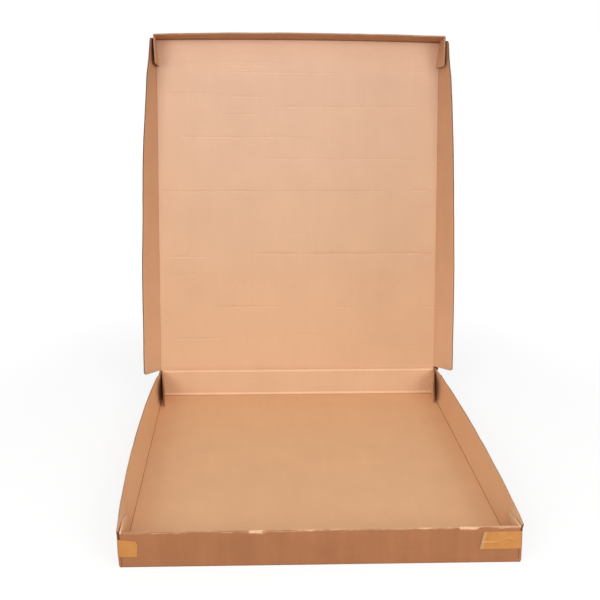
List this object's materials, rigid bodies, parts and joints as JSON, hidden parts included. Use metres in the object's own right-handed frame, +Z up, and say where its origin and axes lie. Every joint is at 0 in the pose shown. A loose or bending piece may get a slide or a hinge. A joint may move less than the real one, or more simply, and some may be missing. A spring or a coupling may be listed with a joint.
{
  "type": "picture frame box",
  "caption": "Shallow corrugated cardboard tray with a hinged, rimmed lid standing open, folded from one blank, taped at the front corners; made to ship a framed picture.",
  "frame": {"origin": "centre of the tray's underside, on the surface it rests on", "axes": "+Z up, -Y towards the tray's front wall, +Y towards the hinge and the open lid, +X to the right seen from the front"},
  "size_m": [0.5952, 0.7261, 0.6785],
  "materials": {
    "board": "matt kraft liner",
    "tape": "satin tan packing tape"
  },
  "bodies": {
    "tray": {"tray": "board", "tape_left": "tape", "tape_right": "tape"},
    "lid": {"lid": "board"}
  },
  "joints": [
    {"name": "lid_hinge", "type": "hinge", "parent": "tray", "child": "lid", "pos_m": [0, 0.3085, 0.0518], "axis": [1, 0, 0], "range_deg": [-84, 99.8]}
  ]
}
